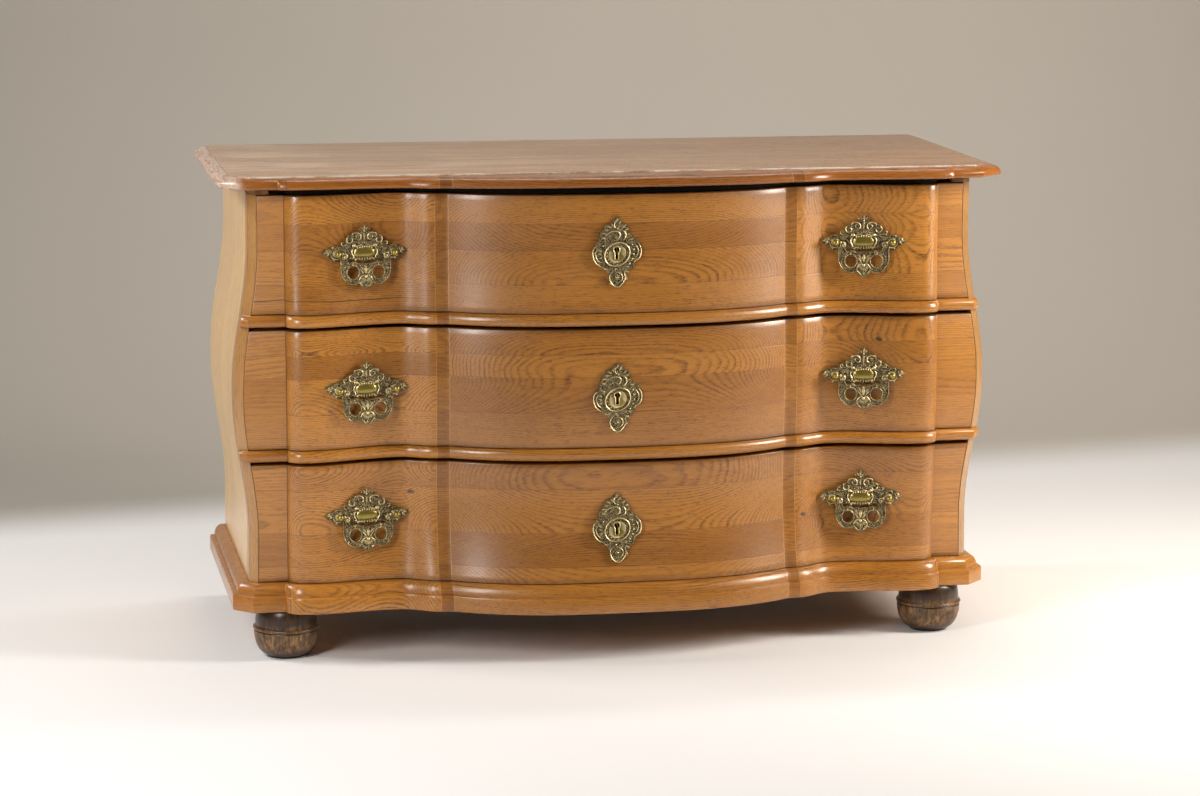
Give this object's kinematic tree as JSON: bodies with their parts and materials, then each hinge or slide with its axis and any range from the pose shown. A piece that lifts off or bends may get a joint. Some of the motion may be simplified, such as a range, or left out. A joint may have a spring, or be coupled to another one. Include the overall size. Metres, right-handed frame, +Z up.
{
  "type": "chest of drawers",
  "caption": "Oak chest of drawers with a serpentine front, bombe sides, canted corners, bun feet, pierced brass bail handles and escutcheons",
  "frame": {"origin": "on the floor, under the middle of the whole width and depth", "axes": "+X to the right seen from the front, +Y to the back, +Z up; the drawers open along -Y"},
  "size_m": [1.348, 0.6385, 0.822],
  "materials": {
    "oak": "polished",
    "top_oak": "polished",
    "dark_oak": "polished",
    "plain_oak": "matte",
    "brass": "aged",
    "iron": "matte"
  },
  "bodies": {
    "carcase": {"top_panel": "top_oak", "top_moulding": "oak", "top_rail": "oak", "upper_rail": "oak", "lower_rail": "oak", "back_board": "plain_oak", "bottom_board": "plain_oak", "base_front": "oak", "left_side": "oak", "left_stile": "oak", "base_left": "oak", "front_left_foot": "dark_oak", "back_left_foot": "dark_oak", "upper_drawer_left_runner": "plain_oak", "middle_drawer_left_runner": "plain_oak", "lower_drawer_left_runner": "plain_oak", "right_side": "oak", "right_stile": "oak", "base_right": "oak", "front_right_foot": "dark_oak", "back_right_foot": "dark_oak", "upper_drawer_right_runner": "plain_oak", "middle_drawer_right_runner": "plain_oak", "lower_drawer_right_runner": "plain_oak"},
    "upper_drawer": {"upper_drawer_left_handle_plate": "brass", "upper_drawer_left_side": "plain_oak", "upper_drawer_right_handle_plate": "brass", "upper_drawer_right_side": "plain_oak", "upper_drawer_front": "oak", "upper_drawer_bottom": "plain_oak", "upper_drawer_back": "plain_oak", "upper_drawer_escutcheon": "brass", "upper_drawer_lock_case": "iron"},
    "middle_drawer": {"middle_drawer_left_handle_plate": "brass", "middle_drawer_left_side": "plain_oak", "middle_drawer_right_handle_plate": "brass", "middle_drawer_right_side": "plain_oak", "middle_drawer_front": "oak", "middle_drawer_bottom": "plain_oak", "middle_drawer_back": "plain_oak", "middle_drawer_escutcheon": "brass", "middle_drawer_lock_case": "iron"},
    "lower_drawer": {"lower_drawer_left_handle_plate": "brass", "lower_drawer_left_side": "plain_oak", "lower_drawer_right_handle_plate": "brass", "lower_drawer_right_side": "plain_oak", "lower_drawer_front": "oak", "lower_drawer_bottom": "plain_oak", "lower_drawer_back": "plain_oak", "lower_drawer_escutcheon": "brass", "lower_drawer_lock_case": "iron"},
    "upper_drawer_left_bail": {"upper_drawer_left_bail": "brass"},
    "upper_drawer_right_bail": {"upper_drawer_right_bail": "brass"},
    "upper_drawer_lock_bolt": {"upper_drawer_lock_bolt": "iron"},
    "middle_drawer_left_bail": {"middle_drawer_left_bail": "brass"},
    "middle_drawer_right_bail": {"middle_drawer_right_bail": "brass"},
    "middle_drawer_lock_bolt": {"middle_drawer_lock_bolt": "iron"},
    "lower_drawer_left_bail": {"lower_drawer_left_bail": "brass"},
    "lower_drawer_right_bail": {"lower_drawer_right_bail": "brass"},
    "lower_drawer_lock_bolt": {"lower_drawer_lock_bolt": "iron"}
  },
  "joints": [
    {"name": "upper_drawer_slide", "type": "slide", "parent": "carcase", "child": "upper_drawer", "axis": [0, -1, 0], "range_m": [0, 0.35]},
    {"name": "middle_drawer_slide", "type": "slide", "parent": "carcase", "child": "middle_drawer", "axis": [0, -1, 0], "range_m": [0, 0.35]},
    {"name": "lower_drawer_slide", "type": "slide", "parent": "carcase", "child": "lower_drawer", "axis": [0, -1, 0], "range_m": [0, 0.35]},
    {"name": "upper_drawer_left_bail_swing", "type": "hinge", "parent": "upper_drawer", "child": "upper_drawer_left_bail", "pos_m": [-0.42945, -0.19896, 0.69056], "axis": [-0.9856, -0.1689, 0], "range_deg": [0, 175]},
    {"name": "upper_drawer_right_bail_swing", "type": "hinge", "parent": "upper_drawer", "child": "upper_drawer_right_bail", "pos_m": [0.42945, -0.19896, 0.69056], "axis": [-0.9856, 0.1689, 0], "range_deg": [0, 175]},
    {"name": "middle_drawer_left_bail_swing", "type": "hinge", "parent": "middle_drawer", "child": "middle_drawer_left_bail", "pos_m": [-0.42945, -0.21195, 0.46111], "axis": [-0.9856, -0.1689, 0], "range_deg": [0, 175]},
    {"name": "middle_drawer_right_bail_swing", "type": "hinge", "parent": "middle_drawer", "child": "middle_drawer_right_bail", "pos_m": [0.42945, -0.21195, 0.46111], "axis": [-0.9856, 0.1689, 0], "range_deg": [0, 175]},
    {"name": "lower_drawer_left_bail_swing", "type": "hinge", "parent": "lower_drawer", "child": "lower_drawer_left_bail", "pos_m": [-0.4297, -0.20516, 0.24405], "axis": [-0.9893, -0.1456, 0], "range_deg": [0, 175]},
    {"name": "lower_drawer_right_bail_swing", "type": "hinge", "parent": "lower_drawer", "child": "lower_drawer_right_bail", "pos_m": [0.4297, -0.20516, 0.24405], "axis": [-0.9893, 0.1456, 0], "range_deg": [0, 175]},
    {"name": "upper_drawer_lock_bolt_slide", "type": "slide", "parent": "upper_drawer", "child": "upper_drawer_lock_bolt", "axis": [0, 0, 1], "range_m": [0, 0.0095]},
    {"name": "middle_drawer_lock_bolt_slide", "type": "slide", "parent": "middle_drawer", "child": "middle_drawer_lock_bolt", "axis": [0, 0, 1], "range_m": [0, 0.014]},
    {"name": "lower_drawer_lock_bolt_slide", "type": "slide", "parent": "lower_drawer", "child": "lower_drawer_lock_bolt", "axis": [0, 0, 1], "range_m": [0, 0.014]}
  ]
}
